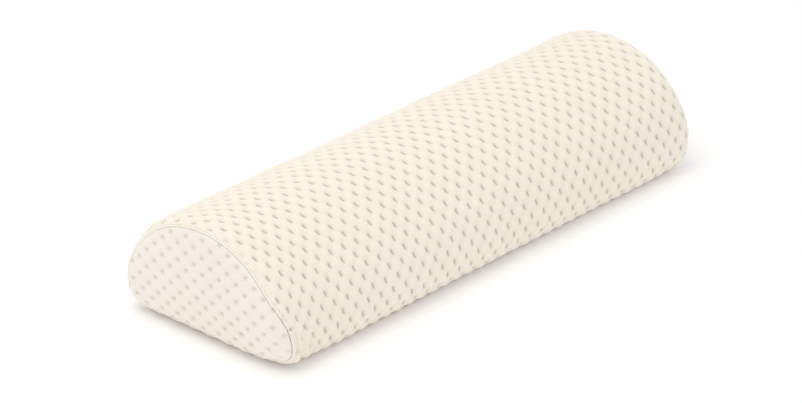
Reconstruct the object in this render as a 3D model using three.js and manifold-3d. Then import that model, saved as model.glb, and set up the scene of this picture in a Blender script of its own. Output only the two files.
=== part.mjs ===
// Half-round bolster pillow: a foam core in a thin liner, inside a dimpled knit cover with a coil zip.
//
// Millimetres, +Z up. The origin is the middle of the flat base. X runs along the pillow, and -X is called
// the near end. Y runs across it: the front is -Y, and the rear, which has the zip, is +Y.
import * as THREE from "three";
import { mergeVertices } from "three/addons/utils/BufferGeometryUtils.js";
import Module from "manifold-3d";

const wasm = await Module();
wasm.setup();

// ---- Overall size and section ----
const pillowLength = 590;
const pillowWidth = 200;
const pillowHeight = 115;
const cornerRadius = 20; // lower long edges, seen in the section
const upright = 4; // height of the upright part of each side, between the corner and the arch
const endRadius = 16; // rounding between the long surface and the two flat ends
const archSteps = 32;
const cornerSteps = 5;
const endSteps = 4;

// ---- Cloth and foam layers ----
const knit = 4; // padded dimple knit of the cover
const liner = 0.8; // jersey of the liner
const coreSlack = 0.4; // between the liner and the foam
const touchGap = 0.3; // between pieces that touch on the real pillow

// ---- Seams ----
const thread = 0.6;
const threadDepth = 0.6; // how far a seam thread lies below the cloth's face
const endSeamInset = 9; // from the flat end to the seam round it
const seamGap = thread + 2 * touchGap;
const frontSeamY = -(pillowWidth / 2 - cornerRadius); // where the base panel starts, under the front edge

// ---- Zip, in its own frame: X along it, Y outwards from the cover's face, Z up ----
const zipRise = 6; // from the top of the rear corner to the zip's centreline
const zipLength = 460; // length of the opening
const tapeOverrun = 8; // tape past each end of the opening
const tapeLap = 5; // tape under the knit, above and below the opening
const tape = 0.6;
const coil = 1.6; // thickness of a row of teeth
const coilWidth = 2.3; // from the middle slot outwards
const coilFaceDepth = 0.3;
const toothPitch = 5;
const toothLength = 1.1; // how far a tooth stands out from the row's own cord
const stopLength = 4;
const stitchOffset = 3; // stitch line, from the edge of the opening
const stitch = 0.5;

// ---- Slider and pull ----
const sliderLength = 13;
const wing = 1.3; // outer plate
const innerWing = 1.1; // plate behind the tape
const flange = 1;
const web = 0.5; // divider that runs in the slot between the rows
const webLength = 3;
const runClearance = 0.3; // round everything that slides
const openingClearance = 0.7; // from the slider to the edge of the opening
const bailEdge = 0.9; // from each end of the slider to the bail's leg
const bailWidth = 1.6;
const bail = 1;
const bailRoom = 2.6; // free height under the bail's bar
const pullLength = 30;
const pullWidth = 8;
const pull = 1.3;
const pullRail = 2.1; // metal on each side of the pull's window
const pullPlay = 1; // between the bail's leg and the far end of the pull's window
const pullHoleRadius = 1.6;

// ---- Care label ----
const labelWidth = 22;
const labelDrop = 18;
const labelPly = 0.35;

// ---- Sizes worked out from the ones above ----
const halfWidth = pillowWidth / 2;
const sideTop = cornerRadius + upright; // where the upright side turns into the arch
const zipHeight = cornerRadius + zipRise;
const slotHalf = web / 2 + runClearance; // half the slot between the two rows
const sliderHeight = 2 * (slotHalf + coilWidth + runClearance + flange);
const bailLength = sliderLength - 2 * bailEdge;
const pullWindow = bailLength / 2 + pullPlay; // from the pivot to the window's far end
const openingHalf = sliderHeight / 2 + openingClearance;
const tapeReach = openingHalf + tapeLap;
const tapeFace = coilFaceDepth + coil + touchGap; // depth of the tape's outer face
const tapeBack = tapeFace + tape;
const innerWingFace = tapeBack + runClearance;
const rebateFace = tapeFace - touchGap;
const linerInset = Math.max(knit + touchGap, innerWingFace + innerWing + runClearance); // clears the slider too
const coreInset = linerInset + liner + coreSlack;
const teethHalf = zipLength / 2 - stopLength - touchGap;
const sliderRest = -teethHalf + sliderLength / 2;
const pivotHeight = wing + bailRoom / 2; // of the pull's pin, above the cover's face

// ---- Materials ----
const cloth = (color, roughness = 0.95) => new THREE.MeshStandardMaterial({ color, roughness, metalness: 0 });
const metal = (color, roughness) => new THREE.MeshStandardMaterial({ color, roughness, metalness: 1 });
const creamKnit = cloth(0xf3ead9);
const endKnit = cloth(0xf1e8dc);
const foam = cloth(0xf6efc9);
const jersey = cloth(0xf8f7f4);
const tapeCloth = cloth(0xe9e0cd, 0.85);
const nylon = cloth(0xe6dcc6, 0.45);
const sewingThread = cloth(0xeee4d0, 0.8);
const satin = cloth(0xfafafa, 0.5);
const nickel = metal(0xb8b8b4, 0.3);

// ---- Solids ----

// A closed geometry as a manifold-3d solid.
function solid(geometry) {
  const bare = geometry.clone().deleteAttribute("normal").deleteAttribute("uv");
  const merged = mergeVertices(bare, 1e-4);
  const vertProperties = new Float32Array(merged.attributes.position.array);
  return new wasm.Manifold(
    new wasm.Mesh({ numProp: 3, vertProperties, triVerts: new Uint32Array(merged.index.array) }),
  );
}

// A named mesh of a solid or a geometry.
function piece(name, material, shape) {
  if (shape.isBufferGeometry) return Object.assign(new THREE.Mesh(shape, material), { name });
  const mesh = shape.getMesh();
  const geometry = new THREE.BufferGeometry()
    .setAttribute("position", new THREE.BufferAttribute(mesh.vertProperties, 3))
    .setIndex(new THREE.BufferAttribute(mesh.triVerts, 1));
  geometry.computeVertexNormals();
  return Object.assign(new THREE.Mesh(geometry, material), { name });
}

// A box from its lowest corner to its highest.
function box([x0, y0, z0], [x1, y1, z1]) {
  const geometry = new THREE.BoxGeometry(x1 - x0, y1 - y0, z1 - z0);
  return geometry.translate((x0 + x1) / 2, (y0 + y1) / 2, (z0 + z1) / 2);
}

// Points on an elliptical arc, angles in quarter turns.
function arc(y, z, radiusY, radiusZ, from, to, steps) {
  const quarter = Math.PI / 2;
  return new THREE.EllipseCurve(y, z, radiusY, radiusZ, from * quarter, to * quarter, false).getPoints(steps);
}

// The section, moved inwards by an inset: flat base, round lower corners, short upright sides, elliptical arch.
function section(inset) {
  const cornerY = halfWidth - cornerRadius;
  const r = cornerRadius - inset;
  return [
    ...arc(cornerY, cornerRadius, r, r, -1, 0, cornerSteps),
    ...arc(0, sideTop, halfWidth - inset, pillowHeight - sideTop - inset, 0, 2, archSteps),
    ...arc(-cornerY, cornerRadius, r, r, 2, 3, cornerSteps),
  ];
}

// Turns an extrusion so that its outline lies across the pillow and its depth runs along X.
function alongPillow(geometry) {
  const turn = new THREE.Matrix4().makeBasis(
    new THREE.Vector3(0, 1, 0),
    new THREE.Vector3(0, 0, 1),
    new THREE.Vector3(1, 0, 0),
  );
  return geometry.applyMatrix4(turn);
}

// The whole pillow's form, moved inwards by an inset, with rounded ends. The bevel grows the outline back out.
function form(inset) {
  const bevel = endRadius - inset;
  const depth = pillowLength - 2 * endRadius;
  const geometry = new THREE.ExtrudeGeometry(new THREE.Shape(section(endRadius)), {
    depth,
    steps: 1,
    bevelEnabled: true,
    bevelSize: bevel,
    bevelThickness: bevel,
    bevelSegments: endSteps,
  });
  return solid(alongPillow(geometry.translate(0, 0, -depth / 2)));
}

const farX = pillowLength;
const endSeamX = pillowLength / 2 - endSeamInset;
const throughY = pillowWidth;
const throughZ = pillowHeight * 2;

// A slab across the pillow between two places along X.
const slab = (x0, x1) => solid(box([x0, -throughY, -throughZ], [x1, throughY, throughZ]));

// ---- Core and liner ----

function core() {
  return piece("foam_core", foam, form(coreInset));
}

// The liner is a sleeve with a flat piece sewn into each end.
function linerPieces() {
  const skin = form(linerInset).subtract(form(linerInset + liner));
  const seamX = endSeamX - linerInset;
  const middle = slab(-seamX + touchGap / 2, seamX - touchGap / 2);
  return [
    piece("liner_sleeve", jersey, skin.intersect(middle)),
    piece("liner_near_end", jersey, skin.intersect(slab(-farX, -seamX - touchGap / 2))),
    piece("liner_far_end", jersey, skin.intersect(slab(seamX + touchGap / 2, farX))),
  ];
}

// ---- Cover panels ----

function coverPanels() {
  const skin = form(0).subtract(form(knit));
  const halfGap = seamGap / 2;
  const middle = skin.intersect(slab(-endSeamX + halfGap, endSeamX - halfGap));
  // Everything behind and below the front seam, up to the line of the zip.
  const baseRegion = (grow) =>
    solid(box([-farX, frontSeamY - grow, -throughZ], [farX, throughY, zipHeight + grow]));
  const opening = solid(
    box([-zipLength / 2, 0, zipHeight - openingHalf], [zipLength / 2, throughY, zipHeight + openingHalf]),
  );
  const rebateX = zipLength / 2 + tapeOverrun + touchGap;
  const rebateZ = tapeReach + touchGap;
  const rebate = solid(
    box([-rebateX, halfWidth / 2, zipHeight - rebateZ], [rebateX, halfWidth - rebateFace, zipHeight + rebateZ]),
  );
  const cut = (panel) => panel.subtract(opening).subtract(rebate);
  return [
    piece("dome_panel", creamKnit, cut(middle.subtract(baseRegion(halfGap)))),
    piece("base_panel", creamKnit, cut(middle.intersect(baseRegion(-halfGap)))),
    piece("near_end_panel", endKnit, skin.intersect(slab(-farX, -endSeamX - halfGap))),
    piece("far_end_panel", endKnit, skin.intersect(slab(endSeamX + halfGap, farX))),
  ];
}

// ---- Seam threads ----

// How far the rounded end has drawn in at the end seam.
const drawIn = endRadius - Math.sqrt(endRadius ** 2 - (endRadius - endSeamInset) ** 2);

// The thread in the seam round one end.
function endSeam(name, side) {
  const inset = drawIn + threadDepth;
  const ring = new THREE.Shape(section(inset));
  ring.holes.push(new THREE.Path(section(inset + thread)));
  const geometry = new THREE.ExtrudeGeometry(ring, { depth: thread, steps: 1, bevelEnabled: false });
  return piece(name, sewingThread, alongPillow(geometry.translate(0, 0, side * endSeamX - thread / 2)));
}

// Straight threads: under the front edge, and on the rear side between the zip and each end.
function straightSeams() {
  const half = thread / 2;
  const endX = endSeamX - seamGap / 2;
  const front = box([-endX, frontSeamY - half, threadDepth], [endX, frontSeamY + half, threadDepth + thread]);
  const rear = (from, to) =>
    box(
      [from, halfWidth - threadDepth - thread, zipHeight - half],
      [to, halfWidth - threadDepth, zipHeight + half],
    );
  const zipEnd = zipLength / 2 + touchGap;
  return [
    piece("front_base_seam", sewingThread, front),
    piece("near_rear_seam", sewingThread, rear(-endX, -zipEnd)),
    piece("far_rear_seam", sewingThread, rear(zipEnd, endX)),
  ];
}

// ---- Zip, built in its own frame ----

// A row of teeth: a cord with square teeth that reach in to the middle slot. side is 1 above and -1 below.
function teethRow(side) {
  const root = slotHalf + toothLength;
  const outline = [new THREE.Vector2(-teethHalf, slotHalf + coilWidth), new THREE.Vector2(-teethHalf, root)];
  const count = Math.floor((2 * teethHalf) / toothPitch);
  const start = -(count * toothPitch) / 2 + (side > 0 ? 0 : toothPitch / 2);
  for (let i = 0; i < count - 1; i++) {
    const x = start + (i + 0.25) * toothPitch;
    const tip = x + toothPitch / 2;
    outline.push(new THREE.Vector2(x, root), new THREE.Vector2(x, slotHalf));
    outline.push(new THREE.Vector2(tip, slotHalf), new THREE.Vector2(tip, root));
  }
  outline.push(new THREE.Vector2(teethHalf, root), new THREE.Vector2(teethHalf, slotHalf + coilWidth));
  const flipped = outline.map((p) => new THREE.Vector2(p.x, side * p.y));
  const row = new THREE.Shape(flipped);
  const geometry = new THREE.ExtrudeGeometry(row, { depth: coil, steps: 1, bevelEnabled: false });
  // The outline's Y becomes Z, and the depth runs inwards along -Y.
  return geometry.rotateX(Math.PI / 2).translate(0, -coilFaceDepth, 0);
}

function zipHalf(label, side) {
  const span = (from, to) => [Math.min(side * from, side * to), Math.max(side * from, side * to)];
  const strip = (x0, x1, y0, y1, from, to) => {
    const [z0, z1] = span(from, to);
    return box([x0, y0, z0], [x1, y1, z1]);
  };
  const tapeX = zipLength / 2 + tapeOverrun;
  const stitchZ = openingHalf + stitchOffset;
  const stopX = -zipLength / 2;
  const coilBack = -coilFaceDepth - coil;
  return [
    piece(`zip_tape_${label}`, tapeCloth, strip(-tapeX, tapeX, -tapeBack, -tapeFace, slotHalf, tapeReach)),
    piece(`zip_teeth_${label}`, nylon, teethRow(side)),
    piece(
      `zip_top_stop_${label}`,
      nickel,
      strip(stopX, stopX + stopLength, coilBack, -coilFaceDepth, slotHalf, slotHalf + coilWidth),
    ),
    piece(
      `zip_stitching_${label}`,
      sewingThread,
      strip(-tapeX, tapeX, touchGap, touchGap + stitch, stitchZ, stitchZ + stitch),
    ),
  ];
}

function bottomStop() {
  const reach = slotHalf + coilWidth;
  const low = [zipLength / 2 - stopLength, -coilFaceDepth - coil, -reach];
  return piece("zip_bottom_stop", nickel, box(low, [zipLength / 2, -coilFaceDepth, reach]));
}

// The slider: two plates joined by a web, flanges beside the teeth, and a bail over the pull's pin.
function slider() {
  const x = sliderLength / 2;
  const z = sliderHeight / 2;
  const flangeFoot = -(tapeFace - runClearance);
  const bar = wing + bailRoom;
  const add = (a, b) => a.add(b);
  const plates = [
    box([-x, 0, -z], [x, wing, z]),
    box([-x, -innerWingFace - innerWing, -z], [x, -innerWingFace, z]),
    box([-x, -innerWingFace - innerWing, -web / 2], [-x + webLength, wing, web / 2]),
    box([-x, flangeFoot, z - flange], [x, wing, z]),
    box([-x, flangeFoot, -z], [x, wing, -z + flange]),
  ];
  const bailParts = [
    box([-bailLength / 2, 0, -bailWidth / 2], [-bailLength / 2 + bail, bar + bail, bailWidth / 2]),
    box([bailLength / 2 - bail, 0, -bailWidth / 2], [bailLength / 2, bar + bail, bailWidth / 2]),
    box([-bailLength / 2, bar, -bailWidth / 2], [bailLength / 2, bar + bail, bailWidth / 2]),
  ];
  const made = piece("zip_slider", nickel, [...plates, ...bailParts].map(solid).reduce(add));
  made.position.x = sliderRest;
  return made;
}

// The pull, lying along +X from its pin, with a window that the bail passes through.
function pullTab() {
  const half = pullWidth / 2;
  const pin = pull / 2;
  const outline = new THREE.Shape([
    new THREE.Vector2(-pin, -half + pin),
    new THREE.Vector2(0, -half),
    ...arc(pullLength - half, 0, half, half, -1, 1, 2 * cornerSteps),
    new THREE.Vector2(0, half),
    new THREE.Vector2(-pin, half - pin),
  ]);
  const window = half - pullRail;
  outline.holes.push(
    new THREE.Path([
      new THREE.Vector2(pin, -window),
      new THREE.Vector2(pullWindow, -window),
      new THREE.Vector2(pullWindow, window),
      new THREE.Vector2(pin, window),
    ]),
    new THREE.Path(arc(pullLength - half, 0, pullHoleRadius, pullHoleRadius, 0, 4, 2 * cornerSteps).slice(1)),
  );
  const geometry = new THREE.ExtrudeGeometry(outline, { depth: pull, steps: 1, bevelEnabled: false });
  const made = piece("zip_pull", nickel, geometry.rotateX(Math.PI / 2).translate(0, pull / 2, 0));
  made.position.set(sliderRest, pivotHeight, 0);
  return made;
}

// A ribbon label folded in two, sewn in beside the zip and hanging down the rear side.
function careLabel() {
  const outer = touchGap + 3 * labelPly;
  const inner = touchGap;
  const outline = new THREE.Shape([
    new THREE.Vector2(inner, 0),
    new THREE.Vector2(inner, -labelDrop),
    new THREE.Vector2(outer, -labelDrop),
    new THREE.Vector2(outer, 0),
    new THREE.Vector2(outer - labelPly, 0),
    new THREE.Vector2(outer - labelPly, -labelDrop + labelPly),
    new THREE.Vector2(inner + labelPly, -labelDrop + labelPly),
    new THREE.Vector2(inner + labelPly, 0),
  ]);
  const geometry = new THREE.ExtrudeGeometry(outline, { depth: labelWidth, steps: 1, bevelEnabled: false });
  const made = piece("care_label", satin, alongPillow(geometry));
  const free = endSeamX - zipLength / 2; // between the zip and the far end
  made.position.x = zipLength / 2 + (free - labelWidth) / 2;
  return made;
}

// ---- The pillow ----

const pillow = new THREE.Group();
pillow.add(core(), ...linerPieces(), ...coverPanels());
pillow.add(endSeam("near_end_seam", -1), endSeam("far_end_seam", 1), ...straightSeams());

const zip = new THREE.Group();
zip.position.set(0, halfWidth, zipHeight);
zip.add(...zipHalf("upper", 1), ...zipHalf("lower", -1), bottomStop(), slider(), pullTab(), careLabel());
pillow.add(zip);

export default pillow;
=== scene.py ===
# %% [markdown]
# # A half-round bolster pillow
#
# A bolster of this kind is a block of foam with a flat base and an arched top, in a cover of
# padded knit. The knit is two jersey layers with a soft filling between them, held together at
# short slots in a brick pattern, so the face is a field of little bubbles. This lesson builds the
# cover, its seams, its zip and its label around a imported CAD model. Every shape is a formula
# worked out on a grid with numpy, and every finish is a node material.

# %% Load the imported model
import math

import bmesh
import bpy
import numpy as np
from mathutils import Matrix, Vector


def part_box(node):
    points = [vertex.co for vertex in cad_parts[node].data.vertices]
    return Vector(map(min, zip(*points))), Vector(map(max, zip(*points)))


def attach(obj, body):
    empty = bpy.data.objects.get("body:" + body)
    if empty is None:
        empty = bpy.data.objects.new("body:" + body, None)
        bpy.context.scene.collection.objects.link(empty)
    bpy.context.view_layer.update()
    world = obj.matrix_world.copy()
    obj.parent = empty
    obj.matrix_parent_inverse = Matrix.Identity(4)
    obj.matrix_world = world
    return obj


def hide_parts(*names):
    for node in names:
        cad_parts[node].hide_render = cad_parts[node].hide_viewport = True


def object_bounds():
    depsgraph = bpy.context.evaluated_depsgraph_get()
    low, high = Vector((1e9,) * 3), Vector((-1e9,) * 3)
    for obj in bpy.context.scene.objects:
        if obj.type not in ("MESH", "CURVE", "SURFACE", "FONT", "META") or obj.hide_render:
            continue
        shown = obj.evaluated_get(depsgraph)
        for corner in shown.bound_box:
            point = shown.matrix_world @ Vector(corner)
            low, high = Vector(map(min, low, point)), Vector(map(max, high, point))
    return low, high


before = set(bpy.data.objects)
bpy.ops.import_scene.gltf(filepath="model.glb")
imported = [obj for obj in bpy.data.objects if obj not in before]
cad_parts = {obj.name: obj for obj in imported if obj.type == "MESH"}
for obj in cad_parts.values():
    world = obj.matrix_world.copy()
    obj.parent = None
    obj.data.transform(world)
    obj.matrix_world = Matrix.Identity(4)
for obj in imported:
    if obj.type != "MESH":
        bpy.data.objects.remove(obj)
cad_low, cad_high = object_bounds()
MM = 0.001  # the sums below are in millimetres, and the meshes are in metres
print("CAD box in mm:", [round((b - a) / MM, 1) for a, b in zip(cad_low, cad_high)])

# %% [markdown]
# ## Camera
#
# A long lens from a few metres away shows the pillow with almost no perspective. The camera is
# placed by its direction from the pillow: an azimuth round it and an elevation above the table. It
# could be framed with lens shift, but aiming it a little to one side does the same and keeps other
# views simple.

# %% Camera
AZIMUTH = math.radians(-47.86)
ELEVATION = math.radians(26.18)
DISTANCE = 3.235  # metres
LENS = 157.1  # focal length in millimetres
AIM_RIGHT, AIM_UP = 0.01696, 0.0207  # how far the pillow's middle stands off the view's middle

toward_camera = np.array(
    [
        math.sin(AZIMUTH) * math.cos(ELEVATION),
        -math.cos(AZIMUTH) * math.cos(ELEVATION),
        math.sin(ELEVATION),
    ]
)
view_right = np.array([math.cos(AZIMUTH), math.sin(AZIMUTH), 0.0])
view_up = np.cross(toward_camera, view_right)
pillow_middle = np.array([0.0, 0.0, (cad_high[2] + cad_low[2]) / 2])
aim_offset = AIM_RIGHT * view_right + AIM_UP * view_up

camera_data = bpy.data.cameras.new("camera")
camera_data.lens = LENS
camera = bpy.data.objects.new("camera", camera_data)
camera.location = pillow_middle + DISTANCE * toward_camera - aim_offset
camera.rotation_euler = (math.pi / 2 - ELEVATION, 0, AZIMUTH)
bpy.context.scene.collection.objects.link(camera)
bpy.context.scene.camera = camera
print("camera at", [round(c, 3) for c in camera.location])

# %% [markdown]
# ## Sizes from the CAD
#
# The CAD model says where every piece is, so no size is typed in twice. The cover's form needs its
# half length and half width, its height, the height of the zip and the places of the seams.


# %% Sizes
def box_mm(node):
    """Lowest and highest corner of a CAD node, in millimetres."""
    low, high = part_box(node)
    return np.array(low) / MM, np.array(high) / MM


ENDS_BACK = 5.0  # the plain ends stand this far inside the CAD's, as room for their swell
HALF_SEAM = 0.3  # half the width of the CAD's base seam
END_ROUND = 16.0  # radius of the rim of each end
OPENING = 4.85  # half the height of the zip's slot in the cover

HALF_LENGTH = -box_mm("near_end_panel")[0][0] - ENDS_BACK
HALF_WIDTH = -box_mm("dome_panel")[0][1]
HEIGHT = box_mm("dome_panel")[1][2]
CORNER = HALF_WIDTH + box_mm("front_base_seam")[1][1] - HALF_SEAM  # radius of the lower long edges
END_SEAM_X = sum(corner[0] for corner in box_mm("far_end_seam")) / 2
ZIP_Z = sum(corner[2] for corner in box_mm("zip_slider")) / 2
ZIP_HALF = box_mm("zip_bottom_stop")[1][0]
print("half length, half width, height:", HALF_LENGTH, HALF_WIDTH, round(HEIGHT, 1))
print("corner", round(CORNER, 2), "end seam", round(END_SEAM_X, 1), "zip height", round(ZIP_Z, 1))

# %% [markdown]
# ## The pillow's section
#
# Seen from the end, the pillow is a flat base, two round lower corners and one arch. The arch is
# close to half an ellipse. A superellipse with an exponent a little over 2 fits a stuffed arch
# better, because foam fills the shoulders out. The outline is worked out once as points, and read
# back by its length along the cloth, because cloth is cut and sewn by length and the knit's
# pattern runs along it.

# %% Section of the pillow
ARCH_POWER = 2.05
SOFTENED = 9  # points on each side that the running mean takes in


def section_outline(steps=1500):
    """The closed outline from the front seam up the front, over the arch, down the rear and back
    along the base. Corners are quarter circles. The arch is |y/a| to the power n plus |z/b| to
    the power n equals 1."""
    quarter = np.linspace(0, np.pi / 2, steps)
    inner = HALF_WIDTH - CORNER
    front = np.stack([-inner - CORNER * np.sin(quarter), CORNER - CORNER * np.cos(quarter)], 1)
    half_turn = np.linspace(0, np.pi, 2 * steps)[1:]
    across, rise = np.cos(half_turn), np.abs(np.sin(half_turn))
    power = 2 / ARCH_POWER
    arch_y = -HALF_WIDTH * np.sign(across) * np.abs(across) ** power
    arch_z = CORNER + (HEIGHT - CORNER) * rise**power
    rear = (front * [-1, 1])[::-1][1:]
    base = np.stack([np.linspace(inner, -inner, steps), np.zeros(steps)], 1)[1:]
    points = np.concatenate([front, np.stack([arch_y, arch_z], 1), rear, base])
    gaps = np.linalg.norm(np.diff(points, axis=0), axis=1)
    length = np.concatenate([[0], np.cumsum(gaps)])
    even = np.linspace(0, length[-1], 4 * steps)
    return even, np.interp(even, length, points[:, 0]), np.interp(even, length, points[:, 1])


def smoothed(values, reach):
    """A running mean of a closed list whose first and last values are the same."""
    wrapped = np.concatenate([values[-reach - 1 : -1], values, values[1 : reach + 1]])
    return np.convolve(wrapped, np.ones(2 * reach + 1) / (2 * reach + 1), "valid")


cloth_s, outline_y, outline_z = section_outline()
outline_y, outline_z = smoothed(outline_y, SOFTENED), smoothed(outline_z, SOFTENED)
run_y, run_z = np.gradient(outline_y), np.gradient(outline_z)
run = np.hypot(run_y, run_z)
outline_ny, outline_nz = -run_z / run, run_y / run
ROUND = cloth_s[-1]  # length of cloth right round the section


def section(s):
    """Place and outward direction across the pillow, at a length s of cloth from the front seam."""
    s = np.mod(s, ROUND)
    return tuple(np.interp(s, cloth_s, v) for v in (outline_y, outline_z, outline_ny, outline_nz))


def rear_length(z):
    """Length of cloth, from the front seam, at a height on the lower half of the rear side."""
    rear_side = (outline_y > HALF_WIDTH / 2) & (cloth_s > ROUND * 0.3)
    keep = rear_side & (outline_z > 1) & (outline_z < HEIGHT / 2)
    return float(np.interp(z, outline_z[keep][::-1], cloth_s[keep][::-1]))


ZIP_S = rear_length(ZIP_Z)
print("cloth round the section:", round(ROUND, 1), "mm, zip at", round(ZIP_S, 1))

# %% [markdown]
# ## From section to pillow
#
# The ends are flat with a rounded rim. A point of the cover is named by two lengths of cloth: s
# round the section, and d from the flat end's rim along the pillow. Near the end the section
# shrinks as a quarter circle turns from the flat end to the side. A real end isn't upright: its
# seam draws it in at the floor and at the crown. That lean could be one more turn of the section,
# but as a gentle shift of space it carries everything near the end with it. The same formulas
# serve the panels, the seams, the foam and the simulation.

# %% Measures and curves
STRAIGHT = HALF_LENGTH - END_ROUND
TURN = END_ROUND * np.pi / 2
MIDDLE = STRAIGHT + TURN  # length of cloth from a flat end's rim to the middle of the pillow
SEAM_D = END_ROUND * math.acos((END_SEAM_X - STRAIGHT) / END_ROUND)  # from the rim to the end seam
CENTRE = np.array([0.0, 48.0])  # y and z of the end panels' middle

TUCK_LENGTH = 70.0  # the lean fades over this length of the pillow
TUCK_LOW, LOW_TOP = 6.0, 55.0  # lean at the floor, and the height where it ends
TUCK_HIGH, HIGH_FROM, HIGH_RISE = 4.0, 30.0, 65.0  # lean at the crown, its start and its rise
TUCK_UP = 2.5  # how far the lower rims rise off the floor
CORNER_TUCK, CORNER_LIFT = 3.0, 0.8  # softening of the near lower front corner, and its lift
CORNER_Y, CORNER_WIDE, CORNER_TALL = -92.0, 22.0, 45.0  # where that softening is

DRAWN = 15.2  # how far the near seam is pulled along the pillow at its lower front corner
PULL_FROM, PULL_MOST, PULL_END = -25.0, 50.0, 170.0  # cloth lengths where the pull starts and ends
PULL_FADE = 27.0


def smoothstep(x):
    """0 below 0, 1 above 1, and an even S-curve between them."""
    x = np.clip(x, 0, 1)
    return x * x * (3 - 2 * x)


def bell(*ratios):
    """A bell curve: e to the power of minus the sum of the ratios' squares."""
    return np.exp(-sum(ratio**2 for ratio in ratios))


def from_front_seam(s):
    """Cloth length from the front seam, up the front if positive and under the base if negative."""
    return np.mod(s + ROUND / 2, ROUND) - ROUND / 2


print("cloth from a rim to the middle:", round(MIDDLE, 1), "mm, to the seam", round(SEAM_D, 1))


# %% Body of the pillow
def square_body(d, s, side):
    """Place and outward direction at cloth lengths d and s, with upright ends. The turn angle is d
    over the radius, up to a right angle: x falls with its cosine, and the section is drawn in by
    the radius times one minus its sine."""
    y, z, ny, nz = section(s)
    turn = np.clip(d, 0, TURN) / END_ROUND
    x = STRAIGHT + END_ROUND * np.cos(turn) - np.maximum(d - TURN, 0)
    inset = END_ROUND * (1 - np.sin(turn))
    place = np.stack([side * x + 0 * s, y - inset * ny, z - inset * nz], -1)
    out = np.stack([side * np.cos(turn) + 0 * s, np.sin(turn) * ny, np.sin(turn) * nz], -1)
    return place, out


def tucked(place):
    """The sewn ends lean in at the floor and at the crown, and their lower rims lift a little.
    Each lean is an S-curve of the height, and all of them fade away along the pillow."""
    x, y, z = place[..., 0], place[..., 1], place[..., 2]
    fade = smoothstep(1 - (HALF_LENGTH - np.abs(x)) / TUCK_LENGTH)
    low, high = smoothstep(1 - z / LOW_TOP), smoothstep((z - HIGH_FROM) / HIGH_RISE)
    by_corner = bell((y - CORNER_Y) / CORNER_WIDE) * smoothstep(1 - z / CORNER_TALL)
    corner = np.where(x < 0, by_corner, 0)
    lean = (TUCK_LOW * low + TUCK_HIGH * high + CORNER_TUCK * corner) * fade
    lift = (TUCK_UP * low + CORNER_LIFT * CORNER_TUCK * corner) * fade
    return np.stack([x - np.sign(x) * lean, y, z + lift], -1)


def on_body(d, s, side):
    """Place and outward direction of the cover's plain face at cloth lengths d and s."""
    place, out = square_body(d, s, side)
    return tucked(place), out


def seam_distance(s, side):
    """Cloth length from an end's rim to its seam. The near seam is drawn in round the lower front
    corner: an S-curve up to the most, and a bell curve down from it."""
    along = from_front_seam(s)
    rising = smoothstep((along - PULL_FROM) / (PULL_MOST - PULL_FROM))
    pulled = np.where(along < PULL_MOST, rising, bell((along - PULL_MOST) / PULL_FADE))
    pulled = np.where((along < PULL_FROM) | (along > PULL_END), 0, pulled)
    return SEAM_D + DRAWN * np.where(np.asarray(side) < 0, pulled, 0)


print("near seam drawn in by up to", round(float(seam_distance(PULL_MOST, -1) - SEAM_D), 1), "mm")

# %% [markdown]
# ## From grids to meshes
#
# A panel of padded knit has an outer face, full of dimples, and a plain inner face. One grid could
# be thickened with the Solidify modifier, but that doubles a heavy mesh. Here the inner face is a
# grid of its own with far fewer rows, and the two are joined round the edge, so that each panel is
# one closed form.


# %% Meshes from arrays
def make_piece(name, places_mm, faces, cloth=None):
    """A new smooth object from places in millimetres and faces. cloth, if given, is stored on each
    point: the knit's two pattern lengths and how strongly the pattern shows."""
    mesh = bpy.data.meshes.new(name)
    mesh.from_pydata((np.asarray(places_mm) * MM).tolist(), [], faces)
    mesh.polygons.foreach_set("use_smooth", np.ones(len(mesh.polygons), dtype=bool))
    if cloth is not None:
        layer = mesh.attributes.new("cloth", "FLOAT_VECTOR", "POINT")
        layer.data.foreach_set("vector", np.asarray(cloth, dtype=np.float32).ravel())
    mesh.update()
    made = bpy.data.objects.new(name, mesh)
    bpy.context.scene.collection.objects.link(made)
    return made


def closed_piece(name, places_mm, faces, cloth=None):
    """A new object from a closed mesh, with every face turned outwards."""
    made = make_piece(name, places_mm, faces, cloth)
    work = bmesh.new()
    work.from_mesh(made.data)
    bmesh.ops.recalc_face_normals(work, faces=work.faces)
    if work.calc_volume(signed=True) < 0:
        bmesh.ops.reverse_faces(work, faces=work.faces)
    work.to_mesh(made.data)
    work.free()
    made.data.update()
    return made


print("pieces can be made from places and faces")


# %% Faces of grids
def grid_faces(rows, columns, wrap):
    """Quads of a grid of points stored row by row. With wrap, the last column joins the first."""
    index = np.arange(rows * columns).reshape(rows, columns)
    after = np.roll(index, -1, axis=1)
    if not wrap:
        index, after = index[:, :-1], after[:, :-1]
    return np.stack([index[:-1], after[:-1], after[1:], index[1:]], -1).reshape(-1, 4)


def end_fans(rings, around):
    """Triangles that close a tube of rings at both ends. Each end has a middle point of its own,
    and the two are stored after the rings."""
    step = np.arange(around)
    after = np.roll(step, -1)
    last = (rings - 1) * around
    tip = np.full(around, rings * around)
    first_fan = np.stack([tip, after, step], -1)
    return np.concatenate([first_fan, np.stack([tip + 1, step + last, after + last], -1)])


def strip_cap(outer, inner):
    """Triangles between two lists of points with different counts. Each outer step takes the inner
    point beside it, and each inner step takes the outer point where that choice moves on."""
    steps = np.arange(len(outer) - 1)
    beside = (steps * len(inner)) // (len(outer) - 1)
    fans = np.stack([outer[:-1], outer[1:], inner[beside]], -1)
    moved = np.searchsorted(beside, np.arange(1, len(inner)))
    links = np.stack([inner[:-1], outer[moved], inner[1:]], -1)
    return np.concatenate([fans, links])


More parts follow.
